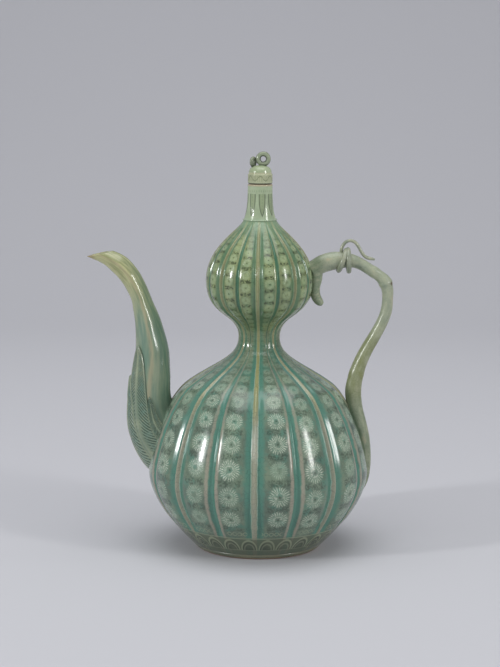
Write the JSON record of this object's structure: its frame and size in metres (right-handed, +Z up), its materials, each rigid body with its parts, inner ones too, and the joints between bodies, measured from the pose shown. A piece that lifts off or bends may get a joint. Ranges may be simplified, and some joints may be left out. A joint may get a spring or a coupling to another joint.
{
  "type": "double gourd ewer",
  "caption": "Ribbed double gourd ewer in celadon glazed ceramic, with a leaf-sheathed horn spout, a vine handle and a small lid that lifts off.",
  "frame": {"origin": "on the ground, under the middle of the whole outline; the gourd's own axis stands 17 mm towards +X from it", "axes": "+Z up the gourd's axis, +X towards the handle with the spout at -X, -Y the side that the picture shows"},
  "size_m": [0.2764, 0.1998, 0.3602],
  "materials": {
    "teal_glaze": "glossy celadon glaze, blue green, with white and black inlay",
    "green_glaze": "glossy celadon glaze, yellow green, with white inlay",
    "pale_glaze": "glossy pale celadon glaze",
    "spout_glaze": "glossy celadon glaze over carved leaves",
    "olive_glaze": "glossy olive celadon glaze",
    "grey_glaze": "glossy grey green celadon glaze",
    "foot_glaze": "thin glaze over the turned foot",
    "bare_clay": "unglazed stoneware"
  },
  "bodies": {
    "ewer": {"foot_ring": "foot_glaze", "lower_gourd": "teal_glaze", "upper_gourd": "green_glaze", "neck": "pale_glaze", "spout_base": "spout_glaze", "spout_horn": "olive_glaze", "spout_leaf_keel": "spout_glaze", "spout_leaf_back_mid": "spout_glaze", "spout_leaf_front_mid": "spout_glaze", "spout_leaf_back_low": "spout_glaze", "spout_leaf_front_low": "spout_glaze", "handle_stalk": "grey_glaze", "handle_spur": "grey_glaze", "handle_tie": "grey_glaze", "tie_loop": "grey_glaze"},
    "lid": {"lid_cap": "pale_glaze", "lid_plug": "bare_clay", "lid_loop_large": "pale_glaze", "lid_loop_small": "pale_glaze"}
  },
  "joints": [
    {"name": "lid_lift", "type": "slide", "parent": "ewer", "child": "lid", "axis": [0, 0, 1], "range_m": [0, 0.06]}
  ]
}
